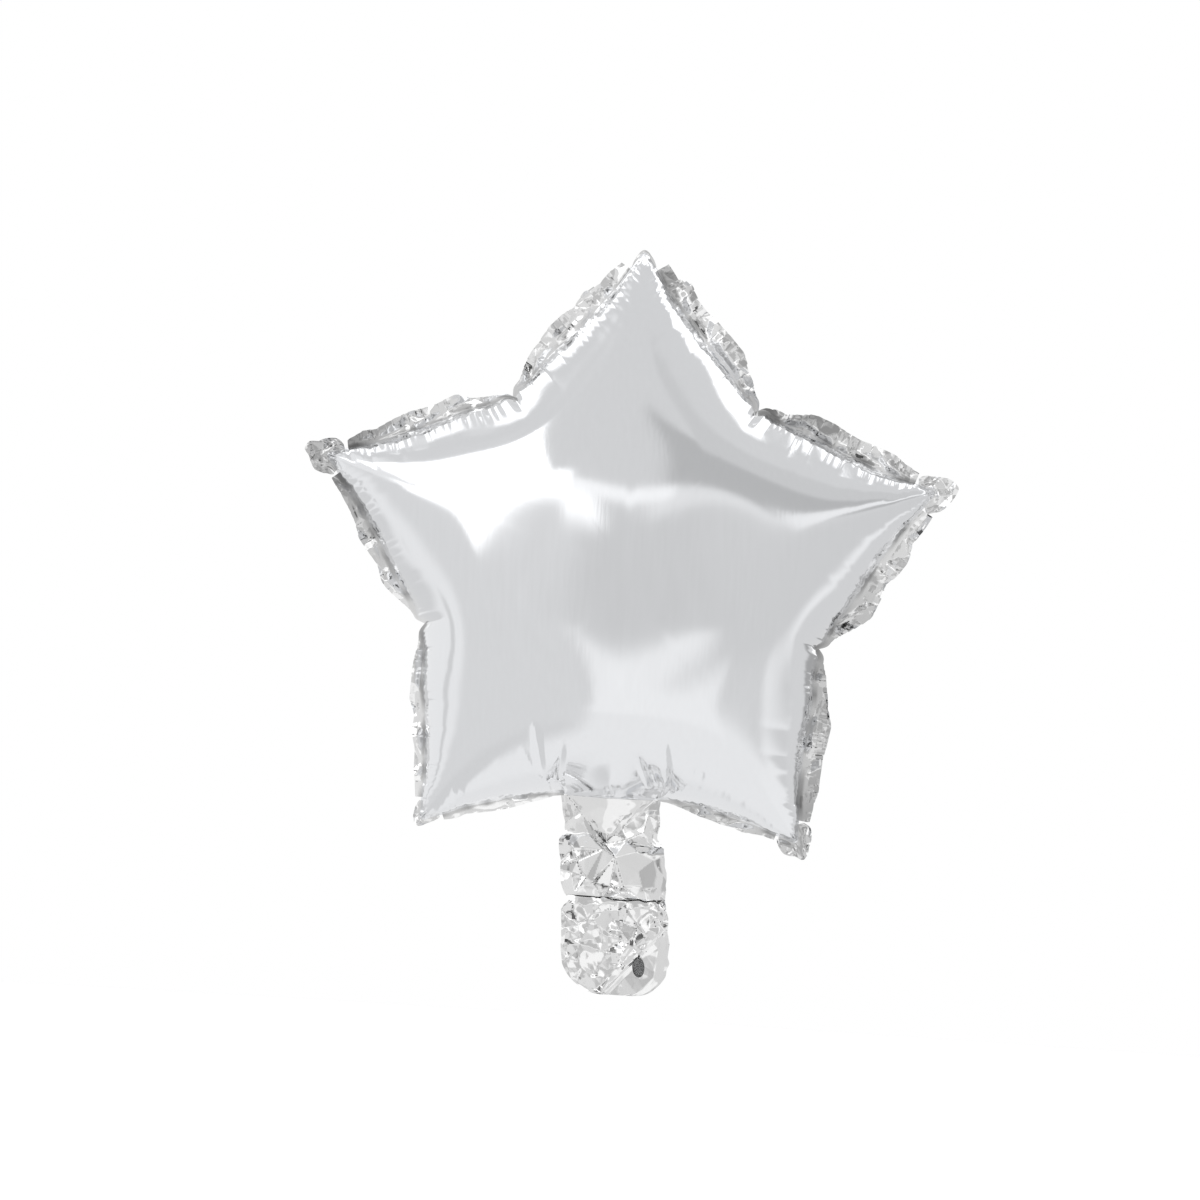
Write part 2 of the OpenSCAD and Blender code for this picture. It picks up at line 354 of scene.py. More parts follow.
def tongue(w, drop):
    """Height of the gas-filled tongue over the tail's front sheet, w to the right, drop below the neck."""
    middle = -TONGUE_X * drop / TONGUE_LEN
    half = TONGUE_HALF * np.clip(1 - drop / TONGUE_LEN, 1e-3, 1)
    across = np.clip(1 - (abs(w - middle) / half) ** 2, 0, 1) ** 1.15
    return MOUTH_DEPTH * across * np.clip(1 - drop / TONGUE_LEN, 0, 1)


def hermite(f, start, start_slope, end, end_slope):
    """A curve from start at f = 0 to end at f = 1."""
    return (
        start * (1 + 2 * f) * (1 - f) ** 2 + start_slope * f * (1 - f) ** 2
        + end * f * f * (3 - 2 * f) + end_slope * f * f * (f - 1))


def open_mouth(p, s, q, front):
    """Pulls the bottom side's seam down to the neck and apart there."""
    x = p[:, :1, 0]
    inside = smooth_step((MOUTH_HALF + 6 - abs(x)) / 10)
    swell = tongue(x, 0) * (1.0 if front else REAR_SHARE)
    gap = -SHEET_GAP * smooth_step((MOUTH_HALF - abs(x)) / 2) - swell
    fade = np.clip(1 - q / MOUTH_REACH, 0, 1)[..., None] ** 2
    moved = p + (np.stack([x, gap, p[:, :1, 2] * (1 - inside)], -1) - p[:, :1]) * fade
    row = int(np.searchsorted(q[len(q) // 2], MOUTH_REACH))
    length = q[:, row:row + 1]
    f = np.clip(q / length, 0, 1)
    slope = (p[:, row + 1, 1] - p[:, row - 1, 1]) / (q[:, row + 1] - q[:, row - 1])
    leaning = -swell / TONGUE_LEN
    curve = hermite(f, gap, leaning * length, p[:, row:row + 1, 1], slope[:, None] * length)
    weight = inside * (f < 1)
    moved[..., 1] += (curve - moved[..., 1]) * weight
    return moved


# [x at the bottom, x at the top, lowest z, highest z, depth] of the gathers over the neck
GATHERS = [(-23.5, -27.5, 6, 24, 0.85), (-18.5, -17.5, 5, 17, 0.8), (13, 7.5, 4, 16, 0.6),
           (19, 16.5, 5, 22, 0.85), (-27, -31, 8, 15, 0.3), (16, 12, 5, 13, 0.3), (27, 26.5, 9, 14, 0.3),
           (30, 29.5, 8, 13, 0.3)]
GATHER_HALF = 1.5


def gathers(x, z):
    depth = np.zeros_like(x)
    for x0, x1, z0, z1, d in GATHERS:
        f = np.clip((z - z0) / (z1 - z0), 0, 1)
        line = x0 + (x1 - x0) * f
        shape = np.cos(math.pi / 2 * np.clip(abs(x - line) / GATHER_HALF, 0, 1)) ** 1.5
        depth += d * shape * np.sin(math.pi * np.clip((z - z0) / (z1 - z0), 0, 1)) ** 0.7
    return depth


# ---- meshes ----


def make_mesh(name, points, faces, merge=0.0, smooth=True, sharp_deg=None):
    """A mesh object from points in millimetres."""
    mesh = bpy.data.meshes.new(name)
    mesh.from_pydata((np.asarray(points) * MM).tolist(), [], [tuple(map(int, f)) for f in faces])
    obj = bpy.data.objects.new(name, mesh)
    bpy.context.scene.collection.objects.link(obj)
    if merge:
        bm = bmesh.new()
        bm.from_mesh(mesh)
        bmesh.ops.remove_doubles(bm, verts=bm.verts, dist=merge * MM)
        bm.to_mesh(mesh)
        bm.free()
    mesh.validate()
    mesh.polygons.foreach_set("use_smooth", [smooth] * len(mesh.polygons))
    if sharp_deg:
        mesh.set_sharp_from_angle(angle=math.radians(sharp_deg))
    mesh.update()
    return obj


def normals_of(points, faces):
    """Smooth outward unit normals of a faceted surface."""
    n = np.zeros_like(points)
    for size in (3, 4):
        f = np.array([x for x in faces if len(x) == size])
        across = np.cross(points[f[:, 2]] - points[f[:, 0]], points[f[:, -1]] - points[f[:, 1]])
        for k in range(size):
            for c in range(3):
                n[:, c] += np.bincount(f[:, k], across[:, c], len(points))
    return n / (np.linalg.norm(n, axis=1, keepdims=True) + 1e-12)


def build_panel(fit, front):
    """One foil panel inside its seam, as one sheet. Returns it and the seam's points by side."""
    along, out, q, s, reach = side_grid()
    columns = len(s)
    faces = side_faces(columns)
    points, all_faces, seams = [], [], {}
    for side in range(5):
        p = star_surface(fit, side, along, out, q)
        if side == NECK_SIDE:
            p = open_mouth(p, s, q, front)
        flat_p = p.reshape(-1, 3)
        n = normals_of(flat_p, faces).reshape(p.shape)
        if n[columns // 2, ROWS // 2, 1] > 0:
            n = -n
        p = p + n * pleat_depth(side, s, q, reach, 0 if front else 1)[..., None]
        if side == NECK_SIDE:
            p = p + n * -gathers(p[..., 0], p[..., 2])[..., None]
        if not front:
            p[..., 1] *= -1
        wave = seam_wave(side, s)[:, None] * np.clip(1 - q / 4, 0, 1) ** 2
        p[..., 1] += wave
        seams[side] = (s, p[:, 0])
        used = len(points) * columns * (ROWS + 1)
        points.append(p.reshape(-1, 3))
        order = faces if front else [f[::-1] for f in faces]
        all_faces += [tuple(v + used for v in f) for f in order]
    points = np.concatenate(points)
    kept = np.unique(np.concatenate([np.array(f) for f in all_faces]))
    renumber = np.zeros(len(points), int)
    renumber[kept] = np.arange(len(kept))
    all_faces = [[renumber[v] for v in f] for f in all_faces]
    name = "foil_dome_front" if front else "foil_dome_rear"
    obj = make_mesh(name, points[kept], all_faces, merge=0.05)
    return obj, seams


# ---- crumpled foil ----

LATTICE_STEP = 0.15     # of the fine lattice that facets are drawn on
HOLE_PAINTED_SHADE = 0.1       # painted shade of the leaf's inside, seen through the fill hole
GREY_SCALE, GREY_DEPTH = 2.6, 0.3       # painted reflection: how soon the painted grey of facets changes with their tilt
BLACK_SCALE, BLACK_DEPTH = 3.6, 0.85    # and of the painted black glints


class FoldMap:
    """Flat facets between corners, as heights that are linear on each facet, drawn on a fine lattice."""

    def __init__(self, corners, heights):
        kept, _, faces, *_ = delaunay_2d_cdt([Vector(c) for c in corners], [], [], 0, 1e-6)
        kept = np.array([list(c) for c in kept])
        heights = np.asarray(heights, float)
        self.low = kept.min(0)
        size = np.ceil((kept.max(0) - self.low) / LATTICE_STEP).astype(int) + 2
        self.grid = np.zeros(size)
        for face in faces:
            a, b, c = ((kept[k] - self.low) / LATTICE_STEP for k in face)
            low = np.floor(np.minimum(np.minimum(a, b), c)).astype(int)
            high = np.ceil(np.maximum(np.maximum(a, b), c)).astype(int) + 1
            p = np.stack(np.meshgrid(*[np.arange(l, h) for l, h in zip(low, high)], indexing="ij"), -1)
            wb = cross(p - a, c - a) / cross(b - a, c - a)
            wc = cross(b - a, p - a) / cross(b - a, c - a)
            inside = (wb > -1e-6) & (wc > -1e-6) & (wb + wc < 1 + 1e-6)
            found = heights[face[0]] * (1 - wb - wc) + heights[face[1]] * wb + heights[face[2]] * wc
            part = self.grid[low[0]:high[0], low[1]:high[1]]
            part[inside] = found[inside]

    def __call__(self, u, v):
        top = np.array(self.grid.shape) - 1.001
        x = np.clip((u - self.low[0]) / LATTICE_STEP, 0, top[0])
        y = np.clip((v - self.low[1]) / LATTICE_STEP, 0, top[1])
        i, j = x.astype(int), y.astype(int)
        x, y, g = x - i, y - j, self.grid
        near = g[i, j] * (1 - y) + g[i, j + 1] * y
        far = g[i + 1, j] * (1 - y) + g[i + 1, j + 1] * y
        return near * (1 - x) + far * x


def cross(a, b):
    return a[..., 0] * b[..., 1] - a[..., 1] * b[..., 0]


def random_folds(seed, low, high, cell):
    """Facets about cell wide between random heights from -1 to 1, over the box from low to high."""
    rng = np.random.default_rng(seed)
    counts = [math.ceil((h - l) / cell) + 3 for l, h in zip(low, high)]
    grid = np.stack(np.meshgrid(*[np.arange(n) for n in counts], indexing="ij"), -1).reshape(-1, 2)
    grid = (grid + rng.uniform(-0.42, 0.42, grid.shape) - 1.5) * cell + low
    return FoldMap(grid, rng.uniform(-1, 1, len(grid)))


def crumpled(seed, low, high, coarse=5.0, fine=2.2, share=0.16):
    """Coarse facets with finer ones on them, from about -1 to 1."""
    big = random_folds(seed, low, high, coarse)
    small = random_folds(seed + 1, low, high, fine)
    return lambda u, v: big(u, v) + share * small(u, v)


def grid_faces(columns, rows):
    i, j = np.meshgrid(np.arange(columns - 1), np.arange(rows - 1), indexing="ij")
    a = (i * rows + j).ravel()
    return np.stack([a, a + rows, a + rows + 1, a + 1], -1)


def painted_facet_reflection(points, faces, seed):
    """Painted reflection: how light each facet is painted by the way it faces, most bright, a few steep
    ones painted nearly black as glints.
    """
    p = points[faces]
    n = np.cross(p[:, 2] - p[:, 0], p[:, 3] - p[:, 1])
    n /= np.linalg.norm(n, axis=1, keepdims=True) + 1e-12
    n *= np.where(n[:, 1:2] > 0, -1, 1)
    grey, black = (
        np.array([noise.noise(Vector((x * scale, z * scale, at))) for x, _, z in n])
        for scale, at in ((GREY_SCALE, seed), (BLACK_SCALE, seed + 7)))
    tilt = np.hypot(n[:, 0], n[:, 2])
    tone = 1 - GREY_DEPTH * smooth_step((grey - 0.02) / 0.25)
    steep = smooth_step((tilt - 0.4) / 0.15)
    return tone * (1 - BLACK_DEPTH * smooth_step((black - 0.2) / 0.08) * steep)


def shell(name, outer, inner, sharp_deg=32, keep=None, painted_shade_mask=None, painted_reflection_share=1.0, painted_light=1.0):
    """A closed thin piece between two (columns, rows) grids of points. outer is the one nearer to -Y.
    keep says which cells of the grid are there. For each point, a mask says where the near face is painted
    dark as shade, a share how much of the painted facet reflection it takes and a factor how much painted
    light or shade it gets."""
    columns, rows = outer.shape[:2]
    faces = grid_faces(columns, rows)
    if keep is not None:
        faces = faces[np.ravel(keep)]
    count = columns * rows
    points = np.concatenate([outer.reshape(-1, 3), inner.reshape(-1, 3)])
    edges = np.concatenate([faces[:, [k, (k + 1) % 4]] for k in range(4)])
    known = set(map(tuple, edges.tolist()))
    rim = np.array([e for e in edges.tolist() if (e[1], e[0]) not in known])
    sides = np.stack([rim[:, 1], rim[:, 0], rim[:, 0] + count, rim[:, 1] + count], -1)
    all_faces = np.concatenate([faces, faces[:, ::-1] + count, sides])
    p = points[faces[len(faces) // 2]]
    if np.cross(p[2] - p[0], p[3] - p[1])[1] > 0:
        all_faces = all_faces[:, ::-1]
    kept = np.unique(all_faces)
    renumber = np.zeros(len(points), int)
    renumber[kept] = np.arange(len(kept))
    piece = make_mesh(name, points[kept], renumber[all_faces], sharp_deg=sharp_deg)
    # painted reflection of each facet, by its share, times the painted light or shade of each point
    tone = painted_facet_reflection(points, all_faces, sum(map(ord, name)) % 50)
    painted_reflection_share, painted_light = (
        np.tile(np.ravel(a + 0 * outer[..., 0]), 2)[all_faces[:, 0]] for a in (painted_reflection_share, painted_light))
    tone = (1 + (tone - 1) * painted_reflection_share) * painted_light
    # painted shade: the marked near faces are painted dark
    if painted_shade_mask is not None:
        near = tone[:len(faces)]
        near[np.ravel(painted_shade_mask)[all_faces[:len(faces), 0]]] = HOLE_PAINTED_SHADE
    piece.data.attributes.new("painted_facet_reflection", "FLOAT", "FACE").data.foreach_set("value", tone)
    return piece


# ---- the welded margin ----

FOIL_T = 0.15
MARGIN_STEP = 0.5
MARGIN_INSET = 0.4      # how far a margin starts inside the seam
MARGIN_SHARP_DEG = 35   # creases sharper than this are hard edges
NECK_CLEAR = 21.0       # the neck takes this much of its side, each way from the middle
MARGIN_STOP = SIDE_HALF - ROUND_CUT - 4.5
# [side, half, how wide it shows as a share of the full width, how light its foil is painted, as painted
# reflection and shade, at the notch, at two places between and at the tip]
MARGINS = {
    "top_right": (4, 0, 1.0, (0.75, 1.1, 1.05, 0.75)),
    "top_left": (0, 1, 0.85, (1.0, 1.1, 1.1, 1.1)),
    "upper_left_above": (0, 0, 0.72, (1.1, 1.1, 0.9, 0.5)),
    "upper_left_below": (1, 1, 0.62, (1.1, 1.0, 0.75, 0.45)),
    "lower_left_outer": (1, 0, 0.55, (0.7, 1.0, 1.05, 1.1)),
    "lower_left_inner": (2, 1, 0.42, (1.1, 1.1, 1.1, 1.1)),
    "lower_right_inner": (2, 0, 0.42, (0.9, 0.85, 1.0, 0.85)),
    "lower_right_outer": (3, 1, 0.85, (0.6, 0.8, 0.9, 0.62)),
    "upper_right_below": (3, 0, 1.0, (0.7, 0.85, 1.1, 1.1)),
    "upper_right_above": (4, 1, 0.95, (0.5, 0.8, 1.0, 1.1)),
}
CRUMPLE_H = 2.0         # height of the margin's facets


def margin_width(f):
    """Share of the full width, f of the way from a notch to a tip."""
    return np.interp(f, [0, 0.12, 0.35, 0.6, 0.85, 1], [0.12, 0.45, 0.92, 1.0, 0.82, 0.5])


def build_margin(side, half, seam_s, seam, name, share, painted_tones):
    """The crumpled strip outside half a side's seam, from its notch to the start of the tip."""
    rng = np.random.default_rng(100 + 10 * side + half)
    sign = 1 if half == 0 else -1
    order = np.argsort(seam_s * sign)
    s, p = (seam_s * sign)[order], seam[order]
    start, stop = 0.0 if side != NECK_SIDE else NECK_CLEAR, MARGIN_STOP
    columns = round((stop - start) / MARGIN_STEP)
    at = np.linspace(start, stop, columns + 1)
    line = np.stack([np.interp(at, s, p[:, c]) for c in range(3)], -1)
    ahead = np.gradient(line[:, [0, 2]], axis=0)
    ahead /= np.linalg.norm(ahead, axis=1, keepdims=True)
    outward = np.stack([ahead[:, 1], -ahead[:, 0]], -1)
    middle = line[:, [0, 2]] - [0, CENTRE_Z]
    if (outward * middle).sum() < 0:
        outward = -outward
    f = (at - start) / (stop - start)
    bends = np.interp(at, np.linspace(start, stop, 12), rng.uniform(0.7, 1.05, 12))
    width = MARGIN_W * share * margin_width(f) * bends
    rows = round(MARGIN_W / MARGIN_STEP)
    v = np.linspace(0, 1, rows + 1)[None, :] * (width + MARGIN_INSET)[:, None] - MARGIN_INSET
    fold = crumpled(200 + 10 * side + 2 * half, (0, 0), (stop, MARGIN_W))
    u = np.repeat(at[:, None], rows + 1, 1)
    free = smooth_step(v / 3.0) * np.clip(width / 5, 0.25, 1)[:, None]
    drift = random_folds(300 + 10 * side + half, (0, 0), (stop, MARGIN_W), 7)(u, v)
    y = line[:, None, 1] + CRUMPLE_H * free * fold(u, v)
    slide = 0.5 * free * drift
    plan = line[:, None, [0, 2]] + outward[:, None] * v[..., None] + ahead[:, None] * slide[..., None]
    outer = np.stack([plan[..., 0], y - FOIL_T, plan[..., 1]], -1)
    inner = outer + [0, 2 * FOIL_T, 0]
    # painted reflection and shade: the foil's lightness, painted from the notch to the tip
    painted_light = np.interp(f, [0.05, 0.35, 0.7, 0.95], painted_tones)
    # painted shade: a dark line painted along the seam, stronger in random places
    seam_shade_strength = 0.45 * smooth_step((rng.uniform(0, 1, 14) - 0.35) / 0.4)
    seam_painted_shade = np.interp(f, np.linspace(0, 1, 14), seam_shade_strength)[:, None] * (1 - smooth_step((v - 0.4) / 1.2))
    return shell(name, outer, inner, MARGIN_SHARP_DEG, painted_light=painted_light[:, None] * (1 - seam_painted_shade))


# ---- crumpled tabs past the arms' tips ----

TAB_FROM = SIDE_HALF - ROUND_CUT - 3.5      # where it starts along a side
TAB_ROWS = 24
TAB_COLUMNS = 46
TAB_H = 1.5             # height of its facets
# [length, how light its foil is painted, as painted reflection and shade, how much of the painted facet
# reflection it takes]
TABS = {
    "top": (1.0, 1.0, 0.3), "upper_left": (7.5, 0.75, 1.0), "lower_left": (2.5, 1.0, 0.4),
    "lower_right": (6.0, 0.85, 0.9), "upper_right": (8.5, 1.0, 0.35),
}


def build_tab(arm, seams, name):
    """The crumpled foil outside the seam where it turns round an arm's tip."""
    # painted light or shade of the tab's foil, and its share of the painted facet reflection
    length, tone, painted_reflection_share = TABS[ARM_NAMES[arm]]
    line = []
    for side, towards in (((arm - 1) % 5, 1), (arm, -1)):
        s, p = seams[side]
        line.append(p[s * towards > TAB_FROM])
    line = np.concatenate(line)
    near = np.linspace(0, len(line) - 1, TAB_COLUMNS)
    line = np.stack([np.interp(near, np.arange(len(line)), line[:, c]) for c in range(3)], -1)
    plan = line[:, [0, 2]]
    tip = plan.mean(0)
    axis = (tip - [0, CENTRE_Z]) / np.linalg.norm(tip - [0, CENTRE_Z])
    spread = plan - (tip - axis * 4)
    spread /= np.linalg.norm(spread, axis=1, keepdims=True)
    rng = np.random.default_rng(400 + arm)
    f = np.linspace(-1, 1, len(plan))
    reach = length * np.interp(f, np.linspace(-1, 1, 8), rng.uniform(0.75, 1.08, 8))
    reach *= 1 - 0.75 * abs(f) ** 3
    v = np.linspace(0, 1, TAB_ROWS)[None, :] * (reach + MARGIN_INSET)[:, None] - MARGIN_INSET
    at = plan[:, None] + spread[:, None] * v[..., None]
    low, high = at.reshape(-1, 2).min(0), at.reshape(-1, 2).max(0)
    fold = crumpled(420 + 2 * arm, low, high, coarse=3.6, fine=1.6, share=0.2)
    free = smooth_step((v + 0.2) / 2.5)
    y = line[:, None, 1] + TAB_H * free * fold(at[..., 0], at[..., 1])
    drift = random_folds(440 + arm, low, high, 4)(at[..., 0], at[..., 1]) * 0.6 * free
    outer = np.stack([at[..., 0] + drift, y - FOIL_T, at[..., 1] + drift], -1)
    inner = outer + [0, 2 * FOIL_T, 0]
    return shell(name, outer, inner, MARGIN_SHARP_DEG, painted_reflection_share=painted_reflection_share, painted_light=tone)


# ---- the tail: w runs to the right from its middle, and drop down from the neck ----

TAIL_STEP = 0.4
TAIL_FRONT_PAINTED_LIGHT = 1.08        # painted light: how much lighter the tail's front sheets are painted
SHEET_T = 0.1
WELD_W = 3.0            # width of the weld along the tail's sides
WELD_GAP = 0.12         # from the tail's middle to a sheet at the weld
WELD_PLAY = 0.02        # between a sheet and the weld
FILM_T = 0.08
FILM_GAP = 0.16         # from the tail's middle to a valve film
FILM_INSET = WELD_W + 1.5
PLEAT = -PLEAT_Z
NECK_END = PLEAT + 0.7  # the neck's sheets end just over the leaf's
LEAF_START = PLEAT - 0.6
TAIL_END = -TAIL_END_Z
LEAF_ROUND = 13.0
NECK_BLEND = 9.0        # a length at the star, given with the neck's pieces but not used
PLEAT_BLEND = 4.0       # half a length at the pleat, given with the leaf's pieces but not used

# the tail's edges: [drop, w]
LEFT_EDGE = [(0, -17), (12, -15.8), (15, -18), (31, -17.8), (35.5, -15.2), (39, -17.8), (67, -18.5)]
RIGHT_EDGE = [(0, 17), (13, 15.8), (16, 17.8), (30, 18.4), (35, 17.4), (38, 18.5), (67, 18.5)]

# big folds of the neck, which both sheets share: [w, drop, height towards the front]
NECK_FOLDS = [
    (-20, 0, 0), (-9, 0, 0), (0, 0, 0), (9, 0, 0), (20, 0, 0),
    (-16, 6, -0.3), (-10, 6, 0.5), (-5, 11, 1.5), (-2.7, 16, -0.9), (-8, 12.5, 0.2), (0, 12, 1.2),
    (3, 9, -0.6), (11, 11, 1.3), (5, 14, 0.6), (13, 5, 0.4), (14.5, 10, -1.0), (17, 8, 0.5),
    (-16, 13.5, 0.2), (-16, 14.6, 1.5), (-3, 16.6, -0.2), (-3, 17.4, 2.3), (8, 15.6, -1.0),
    (8.5, 17.6, 2.5), (13, 16, -1.6), (13.5, 18.2, 2.3), (17, 15.5, -0.2), (19, 18, 0.8),
    (-13, 17.5, 2.3), (-12, 22, 2.0), (1, 20, 2.7), (9, 24.5, 3.0), (14, 20.5, 2.6), (20, 23, 0.2),
    (-9, 27.5, 2.5), (-7, 28.7, 1.9), (3.5, 30, 2.2), (10, 29.5, 2.6), (19.5, 29, 0.2),
    (-6, 29.4, -1.2), (-1, 30.2, -1.8), (3, 30.8, -0.8), (-5, 31.8, 1.6), (2, 32.4, 1.9),
    (-20, 15, -0.5), (-20, 25, -0.6), (-12, 21, -0.7), (-10.5, 27, -0.6), (-14, 26, 0.3), (-13, 33, 0.8),
    (-20, 36, 0.3), (-5, 36, 1.2), (8, 33, 0.9), (12, 36, 1.6), (20, 36, 0.6),
]
# and of the leaf
LEAF_FOLDS = [
    (-20, 31, -0.6), (-7, 31, -0.9), (7, 31, -0.9), (20, 31, -0.6),
    (-19, 36, 0.4), (-10, 37, 1.3), (-2, 36, 0.4), (5, 37.5, 1.5), (13, 36, 0.2), (20, 38, 0.8),
    (-16, 42, -0.8), (-8, 43, 0.8), (0, 41, -0.6), (8, 42, 0.9), (7.5, 43.6, -0.9), (14, 40, 1.4),
    (19.5, 42.5, 1.2), (11, 46, 1.9), (18, 44.5, -0.6), (4, 49.5, 1.8), (6.5, 50.5, -0.8),
    (-20, 48, 0.3), (-12, 50, 1.5), (-5, 47, -0.5), (-3, 53, 1.4), (-14, 57, -0.4), (-6, 59, 0.9),
    (0, 58, 1.7), (-5, 66, 1.2), (-2.5, 67, -0.6), (3, 61, -0.5), (9, 54, 0.2), (15, 50, 0.9),
    (19.5, 56, -0.5), (13, 60, 0.5), (7, 66, 0.2), (-12, 64, -0.3), (0, 70, 0.2), (20, 68, 0),
    (-20, 68, 0),
]
SMOOTH_BAND = (14.5, 31.0)      # the neck is nearly uncreased between these drops
TIP_BEND = 0.8          # how far the leaf's end bends backwards
POCKET = (7.0, 5.5, 4.8, 1.6)   # w, drop, radius and height of a round swelling beside the tongue
HOLE_W, HOLE_DROP = 8.0, 57.0
HOLE_HALF = (2.1, 3.5)


def tail_grid(start, end, inset=0.0):
    """w and drop, each (columns, rows), from the left edge to the right one, drawn in by inset."""
    drop = np.linspace(start, end, round((end - start) / TAIL_STEP) + 1)
    rng = np.random.default_rng(500)
    knots = np.arange(-2, 72, 2.2)
    ragged = [np.interp(drop, knots, rng.uniform(-0.45, 0.45, len(knots))) for _ in range(2)]
    ragged = [r * smooth_step(drop / 5) for r in ragged]
    low = drop - (TAIL_END - LEAF_ROUND)
    turned = LEAF_ROUND - np.sqrt(np.maximum(LEAF_ROUND**2 - np.maximum(low, 0) ** 2, 0))
    left = np.interp(drop, *np.transpose(LEFT_EDGE)) + ragged[0] + turned + inset
    right = np.interp(drop, *np.transpose(RIGHT_EDGE)) + ragged[1] - turned - inset
    f = np.linspace(0, 1, round(36 / TAIL_STEP) + 1)[:, None]
    return left + (right - left) * f, np.repeat(drop[None], len(f), 0)


def tail_fold():
    """The height towards the front of the tail's middle, as functions for the neck and the leaf."""
    neck = FoldMap([p[:2] for p in NECK_FOLDS], [p[2] for p in NECK_FOLDS])
    leaf = FoldMap([p[:2] for p in LEAF_FOLDS], [p[2] for p in LEAF_FOLDS])
    rough = crumpled(520, (-19, 0), (19, 68), coarse=4.6, fine=2.1, share=0.22)

    def neck_height(w, drop):
        smooth = smooth_step((drop - SMOOTH_BAND[0]) / 1.5) * smooth_step((SMOOTH_BAND[1] - drop) / 2)
        calm = smooth * smooth_step((w + 12) / 3)
        return (neck(w, drop) + rough(w, drop) * (0.5 - 0.42 * calm)) * smooth_step(drop / 6)

    def leaf_height(w, drop):
        beyond = (w - 18) * 0.715 + (drop - 42.5) * 0.7    # past the long crease, to the lower right
        calm = smooth_step(beyond / 1.5)
        below = smooth_step((drop - LEAF_START) / 3)
        step = 1.3 * (1 - smooth_step(beyond / 1.0)) * smooth_step((beyond + 9) / 9) * below
        step = step - TIP_BEND * smooth_step((drop - 48) / 16)
        return leaf(w, drop) * 0.8 + step + rough(w, drop) * (1.1 - 0.9 * calm) * (0.2 + 0.8 * below)

    return neck_height, leaf_height


def sheet_gap(w, drop):
    """Half the space between the tail's sheets: it closes at the weld, and below the mouth it is open."""
    left = w - np.min(w, axis=0)
    right = np.max(w, axis=0) - w
    inner = smooth_step((np.minimum(left, right) - 0.3 * WELD_W) / WELD_W)
    at_weld = np.where(drop < 6, WELD_GAP * smooth_step(drop / 6), WELD_GAP)
    mouth = SHEET_GAP * smooth_step((MOUTH_HALF - abs(w)) / 2)
    below = at_weld + (SHEET_GAP - at_weld) * inner
    return mouth + (below - mouth) * smooth_step(drop / 6)


def pocket(w, drop):
    w0, drop0, radius, height = POCKET
    away = np.hypot(w - w0, drop - drop0) / radius
    return height * np.clip(1 - away**2, 0, 1) ** 1.3


def whole_cells(there):
    """The cells of a grid whose four corners are all there."""
    return there[:-1, :-1] & there[1:, :-1] & there[1:, 1:] & there[:-1, 1:]


def in_hole(w, drop):
    """The grid pulled onto the fill hole's edge, and which of its cells are outside the hole."""
    dw, dd = (w - HOLE_W) / HOLE_HALF[0], (drop - HOLE_DROP) / HOLE_HALF[1]
    away = np.hypot(dw, dd)
    scale = np.where((away > 0.8) & (away < 1.12), 1 / np.maximum(away, 0.1), 1)
    w, drop = HOLE_W + dw * scale * HOLE_HALF[0], HOLE_DROP + dd * scale * HOLE_HALF[1]
    inside = away * scale < 1.001
    return w, drop, ~whole_cells(inside)


def tail_points(w, y, drop):
    return np.stack([w - TAIL_LEAN * drop, y, -drop], -1)


def tail_sheet(name, height, grid, front, hole=False):
    w, drop, keep = in_hole(*grid) if hole else (*grid, None)
    gap = sheet_gap(w, drop)
    swell = tongue(w, drop) + pocket(w, drop)
    # the painted facet reflection fades out on the swelling and beside the pleat
    painted_reflection_share = (1 - smooth_step(swell / 1.5)) * smooth_step((abs(drop - PLEAT) - 0.8) / 2)
    if front:
        y = -height(w, drop) - gap - swell
        near, far = tail_points(w, y - SHEET_T, drop), tail_points(w, y, drop)
        # painted light: the front sheets are painted lighter
        return shell(name, near, far, keep=keep, painted_reflection_share=painted_reflection_share, painted_light=TAIL_FRONT_PAINTED_LIGHT)
    y = -height(w, drop) + gap + REAR_SHARE * swell
    near, far = tail_points(w, y, drop), tail_points(w, y + SHEET_T, drop)
    # painted shade: the rear sheet's near face round the fill hole is painted dark, where the tail's inside
    # is in shade
    painted_shade_mask = np.hypot(w - HOLE_W, drop - HOLE_DROP) < 3 * HOLE_HALF[1]
    return shell(name, near, far, keep=keep, painted_shade_mask=painted_shade_mask)


def tail_film(name, height, grid, front, hole=False):
    w, drop, keep = in_hole(*grid) if hole else (*grid, None)
    y = -height(w, drop) + (-FILM_GAP - FILM_T if front else FILM_GAP)
    return shell(name, tail_points(w, y, drop), tail_points(w, y + FILM_T, drop), keep=keep)


def edge_welds(name, height, start, end, closed):
    """The fused strips between the sheets along the tail's sides, and round its end if it is closed."""
    w, drop = tail_grid(start, end)
    left, right = w - w[:1], w[-1:] - w
    edge = np.minimum(left, right) < WELD_W
    if closed:
        edge |= drop > TAIL_END - WELD_W
    y = -height(w, drop)
    half = WELD_GAP - WELD_PLAY
    near, far = tail_points(w, y - half, drop), tail_points(w, y + half, drop)
    return shell(name, near, far, keep=whole_cells(edge))


def star_film(name, node, front):
    """A valve film inside the star: a clear strip with slow waves."""
    low, high = [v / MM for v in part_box(node)]
    x = np.linspace(low.x, high.x, 60)[:, None]
    z = np.linspace(low.z, high.z, 84)[None]
    wave = 0.25 * (1 + np.sin(x / 2.3 + z / 6)) * smooth_step((z - low.z) / 8)
    y = (low.y + high.y) / 2 + (-wave if front else wave)
    x, z = x + 0 * z, z + 0 * x
    near, far = (np.stack([x, y + side * FILM_T / 2, z], -1) for side in (-1, 1))
    return shell(name, near, far)


# ---- materials ----


